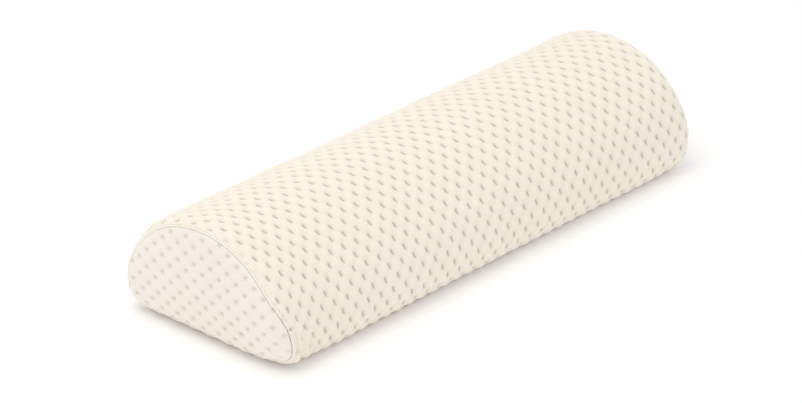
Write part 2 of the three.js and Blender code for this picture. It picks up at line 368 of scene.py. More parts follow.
def closed_panel(outer, inner):
    """Points and faces of a closed sheet: each column runs along the outer face and back along the
    inner one."""
    columns, outer_rows = outer.shape[:2]
    loop = np.concatenate([outer, inner[:, ::-1]], 1)
    count = loop.shape[1]
    quads = grid_faces(columns, count, True)
    first = np.arange(count)
    last = first + (columns - 1) * count
    near_cap = strip_cap(first[:outer_rows], first[outer_rows:][::-1])
    far_cap = strip_cap(last[:outer_rows], last[outer_rows:][::-1])[:, ::-1]
    return loop.reshape(-1, 3), [*quads.tolist(), *near_cap.tolist(), *far_cap.tolist()]


def closed_disc(outer, inner, centre_outer, centre_inner):
    """Points and faces of a closed disc: rings from the middle of its outer face to its rim, and
    back on its inner face. Each middle is a point of its own."""
    rings = np.concatenate([outer, inner[::-1]], 0)
    count, around = rings.shape[:2]
    places = np.concatenate([rings.reshape(-1, 3), [centre_outer], [centre_inner]])
    quads = grid_faces(count, around, True)
    return places, [*quads.tolist(), *end_fans(count, around).tolist()]


print("a grid of 3 by 4 points has", len(grid_faces(3, 4, False)), "faces")

# %% [markdown]
# ## Slack and fullness from a cloth simulation
#
# Sewn cloth over foam is tight at its seams and fuller between them, and that is what makes it
# look soft. It could be sculpted, but a cloth simulation gives it for little work: a coarse copy
# of the cover, pinned along its seams and its base, is pressed outwards for twenty steps. Only how
# far each point moved outwards is kept, with a limit, and the fine panels read it from the coarse
# grid.

# %% The coarse cover's grid
COARSE_ROUND = 96
COARSE_ALONG = 73
COARSE_RINGS = 9
FLAT_SHARE = 0.8  # the part of an end panel that lies inside its rounded rim
RIM_SHARE = 1 - FLAT_SHARE
coarse_s = np.linspace(0, ROUND, COARSE_ROUND, endpoint=False)
coarse_q = np.linspace(-1, 1, COARSE_ALONG)  # -1 and 1 are the two end seams
coarse_t = np.linspace(0, 1, COARSE_RINGS + 1)[1:]  # 1 is the end seam


def side_lengths(q, s):
    """Cloth lengths d, s and side of a point of the long panels, q from -1 at the near seam to 1
    at the far."""
    side = np.where(q < 0, -1, 1)
    reach = MIDDLE - np.where(side < 0, seam_distance(s, -1), seam_distance(s, 1))
    return MIDDLE - np.abs(q) * reach, s + 0 * q, side


def end_point(t, s, side):
    """Place and direction on an end panel, from 0 at its middle to 1 at its seam. The first four
    fifths cross the flat end in straight lines, and the rest follows the rounded rim."""
    d = np.maximum(t - FLAT_SHARE, 0) / RIM_SHARE * seam_distance(s, side)
    rim, out = square_body(d, s, side)
    flat = np.minimum(t / FLAT_SHARE, 1)[..., None]
    middle = np.array([side * HALF_LENGTH, *CENTRE])
    return tucked(middle + (rim - middle) * flat), out


print("coarse cover of", COARSE_ROUND, "by", COARSE_ALONG + 2 * COARSE_RINGS - 2, "points")

# %% Press the coarse cover outwards
PRESS_STEPS = 20
CLOTH_SETTINGS = {
    "vertex_group_mass": "pins",
    "quality": 6,
    "tension_stiffness": 12,
    "compression_stiffness": 12,
    "bending_stiffness": 0.4,
    "use_pressure": True,
    "uniform_pressure_force": 4,
}
FRONT_HELD = 4  # cloth held beside the front seam


def simulated_swell():
    """How far each point of the coarse cover moves outwards: arrays for the long sides and the two
    ends."""
    qq, ss = np.meshgrid(coarse_q, coarse_s, indexing="ij")
    sides, sides_out = on_body(*side_lengths(qq, ss))
    tt, ts = np.meshgrid(coarse_t[:-1], coarse_s, indexing="ij")
    near, near_out = end_point(tt, ts, -1)
    far, far_out = end_point(tt, ts, 1)
    rings = np.concatenate([near, sides, far[::-1]])
    outs = np.concatenate([near_out, sides_out, far_out[::-1]])
    middles = [-HALF_LENGTH, *CENTRE], [HALF_LENGTH, *CENTRE]
    places, faces = closed_disc(rings, rings[:0], *middles)
    cover = closed_piece("coarse_cover", places, faces)
    held = np.zeros(rings.shape[:2])
    held[:, (coarse_s > ZIP_S) | (coarse_s < FRONT_HELD)] = 1  # base, rear strip and front seam
    held[[len(near), len(near) + COARSE_ALONG - 1]] = 1  # both end seams
    pins = cover.vertex_groups.new(name="pins")
    pins.add(np.flatnonzero(held.ravel() > 0).tolist(), 1.0, "REPLACE")
    cloth = cover.modifiers.new("cloth", "CLOTH")
    for key, value in CLOTH_SETTINGS.items():
        setattr(cloth.settings, key, value)
    cloth.settings.effector_weights.gravity = 0
    cloth.collision_settings.use_collision = False
    for step_number in range(1, PRESS_STEPS + 1):
        bpy.context.scene.frame_set(step_number)
    graph = bpy.context.evaluated_depsgraph_get()
    moved = np.empty(len(places) * 3, dtype=np.float32)
    cover.evaluated_get(graph).data.vertices.foreach_get("co", moved)
    bpy.context.scene.frame_set(1)
    bpy.data.objects.remove(cover)
    travel = moved.reshape(-1, 3)[:-2] / MM - places[:-2]
    swell = np.sum(travel.reshape(rings.shape) * outs, -1)
    return swell[len(near) : len(near) + COARSE_ALONG], swell[: len(near)], swell[::-1][: len(near)]


swells = simulated_swell()
most_moved = [round(float(swell.max()), 2) for swell in swells]
print("the sides and the two ends moved at most", most_moved, "mm")

# %% Limit the swell, and read it between its points
SIDE_LIMIT = 1.8  # the most that the long panels swell
END_LIMIT = 2.2  # the most that the end panels swell
side_swell, near_swell, far_swell = (
    limit * np.tanh(swell / limit)
    for swell, limit in zip(swells, (SIDE_LIMIT, END_LIMIT, END_LIMIT))
)


def read_grid(values, low, high, row, s):
    """Reads a coarse grid between its points, even in rows from low to high and wrapped round in
    s. Along the rows the step between points is half a straight line and half an S-curve."""
    rows = len(values)
    r = np.clip((row - low) / (high - low), 0, 1) * (rows - 1)
    c = np.mod(s, ROUND) / ROUND * COARSE_ROUND
    r0 = np.minimum(r.astype(int), rows - 2)
    c0 = c.astype(int) % COARSE_ROUND
    c1 = (c0 + 1) % COARSE_ROUND
    fr, fc = smoothstep(r - r0) * 0.5 + (r - r0) * 0.5, c - np.floor(c)
    upper = values[r0, c0] * (1 - fc) + values[r0, c1] * fc
    lower = values[r0 + 1, c0] * (1 - fc) + values[r0 + 1, c1] * fc
    return upper * (1 - fr) + lower * fr


print("limits:", SIDE_LIMIT, "mm on the sides and", END_LIMIT, "mm on the ends")

# %% [markdown]
# ## The dimple knit
#
# The bubbles stand between short slots. The slots lie in a brick pattern, about 16.7 mm apart
# along the pillow, with every other row moved on by half, and the rows are 10.5 mm apart. Drawing
# them as an image would fix their sharpness, so they are formulas: a bell curve of the distance to
# the nearest slot gives a narrow dip, and two cosines multiplied together, lowest at every slot
# and highest between them, swell the bubbles. The same two pattern lengths are kept on the mesh
# for the material.

# %% Pattern of the knit
PITCH = 16.0  # the pattern's own unit along the pillow
ROW_PAIR = 21.6  # two rows in the pattern's own unit
SLANT = 0.2  # how far a slot runs along the pillow for each millimetre round it
SIDE_SLOT = (1.7, 1.15, SLANT)  # half length, half width and slant of a slot on the long panels
END_SLOT = (1.3, 2.0, 0.0)  # the same on the end panels
SLOT_END = 1.2  # how softly a slot ends
# repeats for each millimetre along and round, or across and up, and where they start
SIDE_U, SIDE_V = (0.059987, -0.001808, -0.2097), (0.002071, 0.047463, 0.1316)
END_U, END_V = (0.006675, 0.063281, 0.1054), (0.049508, -0.004029, 0.0716)
# how the stretch of the fabric shifts the pattern, with the square of the place along the pillow
EASE_START, EASE, EASE_LENGTH, EASE_MOST = -2.2, 5.2, 216.0, 1.6


def to_nearest(value, period):
    """Signed distance to the nearest whole multiple of the period."""
    return value - period * np.round(value / period)


def slot_dips(u, v, half_long, half_wide, slant):
    """Two dips at the slots. The narrow one is a bell curve of the distance to the nearest slot of
    each brick row, and the wide one is a half plus half the product of two cosines."""
    narrow = 0.0
    for shift_u, shift_v in ((0, 0), (PITCH / 2, ROW_PAIR / 2)):
        du, dv = to_nearest(u - shift_u, PITCH), to_nearest(v - shift_v, ROW_PAIR)
        end = np.maximum(np.abs(dv) - half_long, 0)
        narrow = narrow + bell((du + slant * dv) / half_wide, end / SLOT_END)
    leaning = u + 0.5 * slant * to_nearest(v, ROW_PAIR / 2)
    swing = np.cos(2 * np.pi * leaning / PITCH) * np.cos(2 * np.pi * v / ROW_PAIR)
    return narrow, 0.5 + 0.5 * swing


def repeats(rates, first, second):
    """How many repeats of the pattern lie before a point: two lengths times their rates."""
    return rates[0] * first + rates[1] * second + rates[2]


def side_pattern(along, s):
    """Pattern lengths on the long panels. The fabric was cut a degree or two off straight, and it
    is stretched a little more towards the far end."""
    ease = EASE_START + EASE * np.minimum((along / EASE_LENGTH) ** 2, EASE_MOST)
    return PITCH * repeats(SIDE_U, along, s) - ease, ROW_PAIR * repeats(SIDE_V, along, s)


def end_pattern(y, z):
    """Pattern lengths on the end panels: the same cloth turned by a right angle and a few
    degrees."""
    return PITCH * repeats(END_U, y, z), ROW_PAIR * repeats(END_V, y, z)


print("slots", PITCH, "by", ROW_PAIR / 2, "in pattern units")

# %% Hems and unevenness
HEM_WIDTH, HEM_DEPTH = 2.0, 1.5
END_HEM = (0.9, 0.7)  # width and depth of the smaller roll at the end seams
chance = np.random.default_rng(7)


def hem(distance, width=HEM_WIDTH, depth=HEM_DEPTH):
    """How far the cloth rolls in at its edge: a quarter circle that ends upright at the edge."""
    left = 1 - np.clip(distance, 0, width) / width
    return depth * (1 - np.sqrt(np.maximum(1 - left * left, 0)))


def uneven(u, v, scale, count=14):
    """Soft unevenness: a sum of a few waves in fixed random directions, about -1 to 1."""
    turns = chance.uniform(0, 2 * np.pi, count)
    starts = chance.uniform(0, 2 * np.pi, count)
    sizes = chance.uniform(0.7, 1.6, count)
    total = 0.0
    for turn, start, size in zip(turns, starts, sizes):
        across = u * np.cos(turn) + v * np.sin(turn)
        total = total + np.sin(across * size * 2 * np.pi / scale + start)
    return total / np.sqrt(count)


print("a hem rolls in by", [round(float(hem(x)), 2) for x in (0, 0.5, 1, 2)], "mm")

# %% [markdown]
# ## The long panel
#
# One piece of knit runs from under the front edge over the arch to the zip. Its grid has a column
# every millimetre or so, set closer where the slots are, and its columns lean with the fabric so
# that they stay on them. At the zip its edge steps up to leave the opening. Round the lower front
# corner of the near end the cloth is gathered into its seam, which makes a few soft folds and
# flattens the dimples.

# %% Grid lines
EDGE_STEPS = np.array([0, 0.12, 0.4, 0.8, 1.3, 1.8, 2.4])
EDGE_CLEAR = 3.2  # the even steps start this far from an edge
SLOT_STEPS = np.array([0, 0.7, 1.4, 2.6, 4.0, 5.4, 6.6, 7.3])
LEAN = 0.0301  # how far the columns lean along the pillow for each millimetre round it
LAID_AT = 115.0  # the cloth length where the columns are laid out
LEAN_UNTIL, LEAN_FADE = 238, 40  # near the ends the columns turn upright, to meet the seams
HALF_SIDE = MIDDLE - SEAM_D


def columns_on_slots():
    """Places along the pillow: a set of steps in every half pitch, and close steps at the seams."""
    along = np.linspace(-HALF_SIDE, HALF_SIDE, 4001)
    u = side_pattern(along, LAID_AT)[0]
    half = PITCH / 2
    cells = np.arange(np.floor(u[0] / half), np.ceil(u[-1] / half)) * half
    inside = np.interp((cells[:, None] + SLOT_STEPS).ravel(), u, along)
    inside = np.unique(inside[np.abs(inside) < HALF_SIDE - EDGE_CLEAR])
    return np.concatenate([-HALF_SIDE + EDGE_STEPS, inside, (HALF_SIDE - EDGE_STEPS)[::-1]])


def rows_between(low, high, step):
    """Even rows with close steps at both edges."""
    count = int(round((high - low - 2 * EDGE_CLEAR) / step))
    inside = np.linspace(low + EDGE_CLEAR, high - EDGE_CLEAR, count)
    return np.concatenate([low + EDGE_STEPS, inside, (high - EDGE_STEPS)[::-1]])


along_columns = columns_on_slots()
print(len(along_columns), "columns along the pillow")

# %% The near corner and the nips along the seams
# each bell curve has its middle from the front seam, its reach round and its reach along
GATHER_AT, GATHER_ROUND, GATHER_ALONG = 22, 26.0, 24.0
FOLD_AT, FOLD_ROUND, FOLD_ALONG = 26, 26.0, 22.0
FOLD_GAP, FOLD_SLANT, FINE_FOLD_GAP, FINE_SHARE = 9.5, 75, 5.9, 0.5
NIP, NIP_REACH = 0.28, 3.5  # height of the nips, and how far from the seam they reach
NIP_LONG, NIP_SWAY, NIP_SHORT, SHORT_SHARE = 8.3, 29.0, 5.1, 0.6  # lengths that never fall in step
PINCHES = ((55.0, 3.2, 1.6, 2.9), (69.0, 1.3, 1.2, 1.8))  # place, depth, half width, half length
PINCH_ACROSS, PINCH_ALONG = 0.91, 0.41  # the direction that the pinches slant in


def corner_gather(d, s, side):
    """How strongly a point lies in the gathered cloth by the near end's lower front corner, from 0
    to 1: a bell curve of its distances from the corner."""
    beyond = np.maximum(d - seam_distance(s, side), 0)
    around = (from_front_seam(s) - GATHER_AT) / GATHER_ROUND
    return np.where(side < 0, bell(around, beyond / GATHER_ALONG), 0)


def folds(d, s, side):
    """Soft folds beside the near seam's gathered part, which follow the seam and die away along
    the pillow: two sines of the distance from the seam under a bell curve."""
    along = from_front_seam(s)
    beyond = np.maximum(d - seam_distance(s, side), 0)
    wave = np.sin(2 * np.pi * (beyond / FOLD_GAP - along / FOLD_SLANT) + 0.3)
    wave = wave + FINE_SHARE * np.sin(2 * np.pi * beyond / FINE_FOLD_GAP + 2.1)
    fade = bell((along - FOLD_AT) / FOLD_ROUND) * np.exp(-beyond / FOLD_ALONG)
    return np.where(side < 0, wave * fade, 0)


def puckers(s, beyond):
    """Small nips along an end seam, a few millimetres long, where the stitches pull the cloth: two
    sines of lengths that don't repeat together."""
    waves = np.sin(2 * np.pi * s / NIP_LONG + 1.3 * np.sin(s / NIP_SWAY))
    waves = waves + SHORT_SHARE * np.sin(2 * np.pi * s / NIP_SHORT + 0.7)
    return NIP * waves * np.exp(-np.maximum(beyond, 0) / NIP_REACH)


def pinch(s, beyond):
    """Two small slanting dips across the near seam, where tight stitches have pulled it. beyond is
    the distance from the seam, negative on the end panel."""
    dip = 0.0
    for place, depth, half_wide, half_long in PINCHES:
        across = PINCH_ACROSS * (s - place) - PINCH_ALONG * beyond
        along = PINCH_ALONG * (s - place) + PINCH_ACROSS * beyond
        dip = dip + depth * bell(across / half_wide, along / half_long)
    return dip


print("the near seam has", len(PINCHES), "pinches and a few folds beside it")

# %% Heights of the long panels' face
SLOT_DEPTH = 1.3
BUBBLE_DEPTH = 1.7  # from the top of a bubble to the foot of the wide dip
KNIT = 3.8  # thickness of the visible sheet
SEAM_GAP = 0.5  # from the zip's middle line to a panel's edge where the opening is closed
OPEN_BACK, OPEN_STEP = 3, 7  # how the opening closes past the bottom stop
OPEN_BLEND = 22  # cloth beside the zip that moves aside for the opening
BAND, BAND_FADE, BAND_END = 9, 4.0, 8  # reach, fade and ends of the plain band by the tapes
SEAM_PLAIN, EDGE_PLAIN = 5, 4  # cloth beside a seam or an edge that has no bubbles
GATHER_PLAIN = 0.6  # how much of the bubbles the gathered corner loses
STITCH_AT, STITCH_WIDE, STITCH_DEPTH = 7.85, 0.9, 0.5  # the grooves that hold the tapes
UNEVEN, UNEVEN_LONG, UNEVEN_PLAIN = 0.3, 90, 30  # height, length and start of the unevenness
FOLD_HEIGHT, FOLD_START = 3.0, 3  # height of the folds, and how soon they rise by the seam


def long_sheet(along, rows, rear_edge, turn_side):
    """Place, direction, offset, pattern and swell of a panel between the end seams. along and rows
    are cloth lengths. rear_edge is the row that follows the zip, and turn_side is 1 if the panel
    lies before it and -1 after."""
    aa, vv = np.meshgrid(along, rows, indexing="ij")
    if turn_side > 0:
        aa = aa + LEAN * (vv - LAID_AT) * (1 - smoothstep((np.abs(aa) - LEAN_UNTIL) / LEAN_FADE))
    open_share = 1 - smoothstep((np.abs(aa) - ZIP_HALF + OPEN_BACK) / OPEN_STEP)
    by_zip = 1 - smoothstep(np.abs(rear_edge - vv) / OPEN_BLEND)
    ss = vv - turn_side * (OPENING - SEAM_GAP) * open_share * by_zip
    d, s, side = side_lengths(aa / HALF_SIDE, ss)
    place, out = on_body(d, s, side)
    swell = read_grid(side_swell, -1, 1, aa / HALF_SIDE, s) * (turn_side > 0)
    beyond = d - seam_distance(s, side)
    to_edge = np.minimum(np.abs(vv - rows[0]), np.abs(rows[-1] - vv))
    from_zip = np.abs(s - ZIP_S)

    u, v = side_pattern(side * (MIDDLE - d), s)
    by_tape = bell(np.maximum(from_zip - BAND, 0) / BAND_FADE)
    by_tape = by_tape * (1 - smoothstep((np.abs(aa) - ZIP_HALF - BAND_END) / BAND_END))
    shows = 1 - GATHER_PLAIN * corner_gather(d, s, side)
    shows = shows * smoothstep(beyond / SEAM_PLAIN) * smoothstep(to_edge / EDGE_PLAIN)
    shows = shows * (1 - by_tape)
    narrow, wide = slot_dips(u, v, *SIDE_SLOT)
    relief = SLOT_DEPTH * narrow + BUBBLE_DEPTH * (wide - 0.5)
    groove = bell((from_zip - STITCH_AT) / STITCH_WIDE) * open_share * STITCH_DEPTH
    fall = relief * shows + hem(beyond, *END_HEM) + hem(to_edge) + groove

    soft = UNEVEN * uneven(aa, s, UNEVEN_LONG) * smoothstep(beyond / UNEVEN_PLAIN)
    rise = swell + soft * (turn_side > 0) + puckers(s, beyond)
    rise = rise + FOLD_HEIGHT * folds(d, s, side) * smoothstep(beyond / FOLD_START)
    rise = rise - np.where(side < 0, pinch(s, beyond), 0)
    return place, out, rise - fall, np.stack([u, v, shows], -1), swell


print("slots are", SLOT_DEPTH + BUBBLE_DEPTH, "mm below the tops of the bubbles")

# %% The long panel and the base panel
FRONT_GAP = 0.6  # from the front seam's middle line to a panel's edge
INNER_BACK = 0.3  # the inner face's edges stand back this far
INNER_STEP = 9.0
DOME_STEP, BASE_STEP = 1.3, 2.6  # between the rows of the outer faces


def raised(place, out, height):
    """Places moved along their outward directions, and never under the floor."""
    moved = place + out * height[..., None]
    moved[..., 2] = np.maximum(moved[..., 2], 0.0)
    return moved


def panel(name, along, rows, turn_side):
    """A closed panel of padded knit: the dimpled outer face, and a plain inner one that lies KNIT
    below it."""
    rear_edge = rows[-1] if turn_side > 0 else rows[0]
    place, out, offset, pattern, _ = long_sheet(along, rows, rear_edge, turn_side)
    outer = raised(place, out, offset)
    count = int((rows[-1] - rows[0]) / INNER_STEP)
    inner_rows = np.linspace(rows[0] + INNER_BACK, rows[-1] - INNER_BACK, count)
    place, out, _, plain, swell = long_sheet(along, inner_rows, rear_edge, turn_side)
    inner = place + out * (swell - KNIT)[..., None]
    plain[..., 2] = 0
    cloth = np.concatenate([pattern, plain[:, ::-1]], 1).reshape(-1, 3)
    made = closed_piece(name, *closed_panel(outer, inner), cloth)
    print(name, len(made.data.polygons), "faces")
    return made


dome_rows = rows_between(FRONT_GAP, ZIP_S - SEAM_GAP, DOME_STEP)
base_rows = rows_between(ZIP_S + SEAM_GAP, ROUND - FRONT_GAP, BASE_STEP)
dome = panel("dome_cover", along_columns, dome_rows, 1)
base = panel("base_cover", along_columns[::2], base_rows, -1)

# %% [markdown]
# ## The end panels
#
# Each end is a D of the same knit with its pattern turned, crowned a few millimetres by the foam
# behind it. A square grid would leave a jagged edge at the seam. Rings that spread from the middle
# to the seam meet the long panel cleanly, and the rim of every ring is read from the same section.

# %% Heights of an end panel's face
END_SLOT_DEPTH, END_BUBBLE_DEPTH = 0.9, 0.8
SWELL_UNTIL = 0.85  # the swell falls evenly to nothing from here to the seam
GATHER_FROM, GATHER_RISE = 0.75, 0.2  # where the gathered corner reaches into the end panel


def end_sheet(t, s, side):
    """Place, direction, offset, pattern and swell over an end panel, from 0 at its middle to 1 at
    its seam."""
    tt, ss = np.meshgrid(t, s, indexing="ij")
    place, out = end_point(tt, ss, side)
    reach = seam_distance(ss, side)
    to_seam = (1 - tt) / RIM_SHARE * reach
    flat_place, _ = end_point(np.minimum(tt, FLAT_SHARE), ss, side)
    _, _, ny, nz = section(ss)
    over = np.maximum(tt - FLAT_SHARE, 0) / RIM_SHARE * reach
    u, v = end_pattern(flat_place[..., 1] + ny * over, flat_place[..., 2] + nz * over)

    swell = read_grid(near_swell if side < 0 else far_swell, coarse_t[0], coarse_t[-2], tt, ss)
    falling = np.maximum(1 - (tt - SWELL_UNTIL) / (1 - SWELL_UNTIL), 0)
    swell = np.where(tt < SWELL_UNTIL, swell, swell * falling)
    gather = corner_gather(reach, ss, side) * smoothstep((tt - GATHER_FROM) / GATHER_RISE)
    shows = smoothstep(to_seam / SEAM_PLAIN) * (1 - GATHER_PLAIN * gather)
    narrow, wide = slot_dips(u, v, *END_SLOT)
    relief = END_SLOT_DEPTH * narrow + END_BUBBLE_DEPTH * (wide - 0.5)
    fall = relief * shows + hem(to_seam, *END_HEM)
    rise = swell + puckers(ss, to_seam) - (pinch(ss, -to_seam) if side < 0 else 0)
    return place, out, rise - fall, np.stack([u, v, shows], -1), swell


print("end slots are", round(END_SLOT_DEPTH + END_BUBBLE_DEPTH, 1), "mm deep")

# %% Both end panels
END_AROUND = 420
FLAT_RINGS = np.linspace(0.02, FLAT_SHARE, 50)
RIM_RINGS = np.linspace(FLAT_SHARE, 0.963, 12)[1:]
INNER_RINGS = np.concatenate([np.linspace(0.1, FLAT_SHARE, 5), np.linspace(0.85, 0.985, 4)])


def end_panel(name, side):
    """A closed end panel, rings from its middle to the seam on both faces."""
    s = np.linspace(0, ROUND, END_AROUND, endpoint=False)
    rim_steps = 1 - EDGE_STEPS / SEAM_D * RIM_SHARE
    t = np.concatenate([FLAT_RINGS, RIM_RINGS, rim_steps[::-1]])
    place, out, offset, pattern, _ = end_sheet(t, s, side)
    outer = raised(place, out, offset)
    place, out, _, plain, swell = end_sheet(INNER_RINGS, s, side)
    inner = place + out * (swell - KNIT)[..., None]
    tip = [side * (HALF_LENGTH + float(offset[0].mean())), *CENTRE]
    heel = [side * (HALF_LENGTH + float(swell[0].mean()) - KNIT), *CENTRE]
    plain[..., 2] = 0
    middles = [[*end_pattern(*CENTRE), 1.0]] * 2
    cloth = np.concatenate([pattern.reshape(-1, 3), plain[::-1].reshape(-1, 3), middles])
    made = closed_piece(name, *closed_disc(outer, inner, tip, heel), cloth)
    print(name, len(made.data.polygons), "faces")
    return made


near_end = end_panel("near_end_cover", -1)
far_end = end_panel("far_end_cover", 1)

# %% [markdown]
# ## Inside the cover
#
# A plain liner keeps the foam clean, and the foam fills it. Both could stay as the CAD has them,
# but the sewn ends lean in a little, and what is inside a stuffed cover leans with it. They are
# the same body, drawn in evenly.

# %% Liner and core
LINER_DEPTH, LINER, CORE_DEPTH = 4.5, 0.8, 5.7  # the liner's depth and thickness, and the foam's
LINER_FACES = (LINER_DEPTH, LINER_DEPTH + LINER)
ENOUGH_ROUND = np.linspace(0, ROUND, 168, endpoint=False)
DISC_RINGS = [0.2, 0.4, 0.6, 0.8, 0.85, 0.9, 0.95]
LINER_REACH, TUBE_REACH, TUBE_RINGS = 0.99, 0.999, 60  # the liner's parts stop just short of a seam


def end_rings(last, side, depth):
    """Rings of an end, up to the share last, at a depth under the cover's face."""
    tt, ss = np.meshgrid([*DISC_RINGS, last], ENOUGH_ROUND, indexing="ij")
    place, out = end_point(tt, ss, side)
    return place - depth * out


def side_rings(q, depth):
    """Rings between the end seams at a depth under the cover's face."""
    qq, ss = np.meshgrid(q, ENOUGH_ROUND, indexing="ij")
    place, out = on_body(*side_lengths(qq, ss))
    return place - depth * out


def end_middle(side, depth):
    """The middle of an end at a depth under the cover's face."""
    return np.array([side * (HALF_LENGTH - depth), *CENTRE])


def liner_end(name, side):
    """A thin closed disc that follows an end to its seam."""
    faces = [end_rings(LINER_REACH, side, depth) for depth in LINER_FACES]
    middles = [end_middle(side, depth) for depth in LINER_FACES]
    return closed_piece(name, *closed_disc(*faces, *middles))


def liner_tube(name):
    """A thin closed tube between the end seams: rings along its outer face and back along its
    inner one."""
    q = np.linspace(-TUBE_REACH, TUBE_REACH, TUBE_RINGS)
    outer, inner = (side_rings(q, depth) for depth in LINER_FACES)
    rings = np.concatenate([outer, inner[::-1]])
    count, around = rings.shape[:2]
    quads = grid_faces(count + 1, around, True) % (count * around)
    return closed_piece(name, rings.reshape(-1, 3), quads.tolist())


def core_form(name):
    """The foam: rings from the middle of one end to the middle of the other, closed by a point at
    each."""
    near, far = (end_rings(1.0, side, CORE_DEPTH) for side in (-1, 1))
    between = side_rings(np.linspace(-1, 1, TUBE_RINGS)[1:-1], CORE_DEPTH)
    rings = np.concatenate([near, between, far[::-1]])
    middles = end_middle(-1, CORE_DEPTH), end_middle(1, CORE_DEPTH)
    return closed_piece(name, *closed_disc(rings, rings[:0], *middles))


inside = {
    "liner_near_end": (liner_end("liner_near_disc", -1), "liner_jersey"),
    "liner_far_end": (liner_end("liner_far_disc", 1), "liner_jersey"),
    "liner_sleeve": (liner_tube("liner_tube"), "liner_jersey"),
    "foam_core": (core_form("foam_block"), "foam_core"),
}
print("liner and core:", [len(made.data.polygons) for made, _ in inside.values()], "faces")

# %% [markdown]
# ## Threads
#
# Sewing thread is two plies twisted together. It could be two separate coils, but at half a
# millimetre one tube is enough if its radius has two bulges that turn along it. Every seam thread
# here is that tube, carried along the seam's own path at the bottom of the crease.


# %% Tubes along a path
def tube_along(name, path, radius, around=8, closed=False, twist=None):
    """A tube of points round a path: at each point a circle across the path's direction. With
    twist, the radius swells and shrinks by a fifth twice in a turn, and the bulges go round once in
    that length."""
    ends = (np.roll(path, -1, 0) - np.roll(path, 1, 0)) if closed else np.gradient(path, axis=0)
    ahead = ends / np.linalg.norm(ends, axis=1, keepdims=True)
    guide = np.where(np.abs(ahead[:, :1]) > 0.9, [[0.0, 0.0, 1.0]], [[1.0, 0.0, 0.0]])
    left = np.cross(guide, ahead)
    left /= np.linalg.norm(left, axis=1, keepdims=True)
    above = np.cross(ahead, left)
    angle = np.linspace(0, 2 * np.pi, around, endpoint=False)
    size = np.full((len(path), around), float(radius))
    if twist:
        steps = np.linalg.norm(np.diff(path, axis=0), axis=1)
        length = np.concatenate([[0], np.cumsum(steps)])
        size *= 0.88 + 0.2 * np.cos(2 * (angle - 2 * np.pi * length[:, None] / twist))
    ring = left[:, None] * np.cos(angle)[:, None] + above[:, None] * np.sin(angle)[:, None]
    places = (path[:, None] + ring * size[..., None]).reshape(-1, 3)
    faces = (grid_faces(len(path) + closed, around, True) % len(places)).tolist()
    if not closed:
        faces += [list(range(around))[::-1], list(range(len(places) - around, len(places)))]
    return closed_piece(name, places, faces)


print("tubes ready")

# %% Seam threads
THREAD, PLY_TURN = 0.3, 1.4  # radius of the thread, and the length of one turn of its plies
THREAD_STEP, RING_POINTS = 0.7, 900
THREAD_START = 0.5  # a long thread starts this far from the end seam
RING_SUNK, THREAD_SUNK = 1.05, 0.4  # depth of the threads in the end seams and the long seams


def seam_ring(name, side):
    """The thread round one end, at the bottom of the crease between the end panel and the long
    panels."""
    s = np.linspace(0, ROUND, RING_POINTS, endpoint=False)
    place, out = on_body(seam_distance(s, side), s, side)
    return tube_along(name, place - RING_SUNK * out, THREAD, closed=True, twist=PLY_TURN)


def lengthwise_thread(name, s, spans):
    """A thread along the cover at s, over spans of side and two cloth lengths, at the bottom of its
    crease."""
    path = []
    for side, first, last in spans:
        d = np.linspace(first, last, int(abs(last - first) / THREAD_STEP))
        place, out = on_body(d, s + 0 * d, side)
        path.append(place - THREAD_SUNK * out)
    return tube_along(name, np.concatenate(path), THREAD, twist=PLY_TURN)


def reach_of(x):
    """Cloth length from an end's rim to a place on the straight part."""
    return TURN + STRAIGHT - abs(x)


near_start, far_start = (float(seam_distance(0.0, side)) + THREAD_START for side in (-1, 1))
front_spans = [(-1, near_start, MIDDLE - THREAD_STEP / 2), (1, MIDDLE, far_start)]
near_rear_span = [(-1, SEAM_D + THREAD_START, reach_of(box_mm("near_rear_seam")[1][0]))]
far_rear_span = [(1, reach_of(box_mm("far_rear_seam")[0][0]), SEAM_D + THREAD_START)]
threads = {
    "near_end_seam": seam_ring("near_end_thread", -1),
    "far_end_seam": seam_ring("far_end_thread", 1),
    "front_base_seam": lengthwise_thread("front_base_thread", 0.0, front_spans),
    "near_rear_seam": lengthwise_thread("near_rear_thread", ZIP_S, near_rear_span),
    "far_rear_seam": lengthwise_thread("far_rear_thread", ZIP_S, far_rear_span),
}
print(len(threads), "threads")

# %% [markdown]
# ## The zip
#
# A coil zip is a nylon wire wound into a flattened spiral and sewn to each tape. One long tube
# along a spiral makes each row, with the two rows half a turn apart so that their loops pass
# between each other. The short stitches that hold the tapes are small capsules in a row, all made
# as one mesh from one capsule's points.

# %% Coils
WIRE, COIL_PITCH, TURN_STEPS = 0.27, 1.45, 10


def coil_row(name, node, side):
    """A flattened spiral inside the CAD row's box: an ellipse that moves along the zip."""
    low, high = box_mm(node)
    turns = int((high[0] - low[0]) / COIL_PITCH)
    angle = np.linspace(0, 2 * np.pi * turns, turns * TURN_STEPS) + (np.pi if side < 0 else 0)
    x = np.linspace(low[0] + WIRE, high[0] - WIRE, len(angle))
    y = (low[1] + high[1]) / 2 + ((high[1] - low[1]) / 2 - WIRE) * np.cos(angle)
    z = (low[2] + high[2]) / 2 + side * ((high[2] - low[2]) / 2 - WIRE) * np.sin(angle)
    return tube_along(name, np.stack([x, y, z], 1), WIRE, around=5)


coils = {
    "zip_teeth_upper": coil_row("zip_coil_upper", "zip_teeth_upper", 1),
    "zip_teeth_lower": coil_row("zip_coil_lower", "zip_teeth_lower", -1),
}
print("coil faces:", len(coils["zip_teeth_upper"].data.polygons))

# %% Stitches
STITCH_PITCH = 3.6
STITCH_HALF, STITCH_TIP = 1.45, 1.6  # half the length of a stitch's rings, and of the whole stitch
STITCH_THICK, STITCH_BULGE, STITCH_SUNK = 0.3, 0.32, 0.55
STITCH_RINGS, STITCH_AROUND = 5, 6


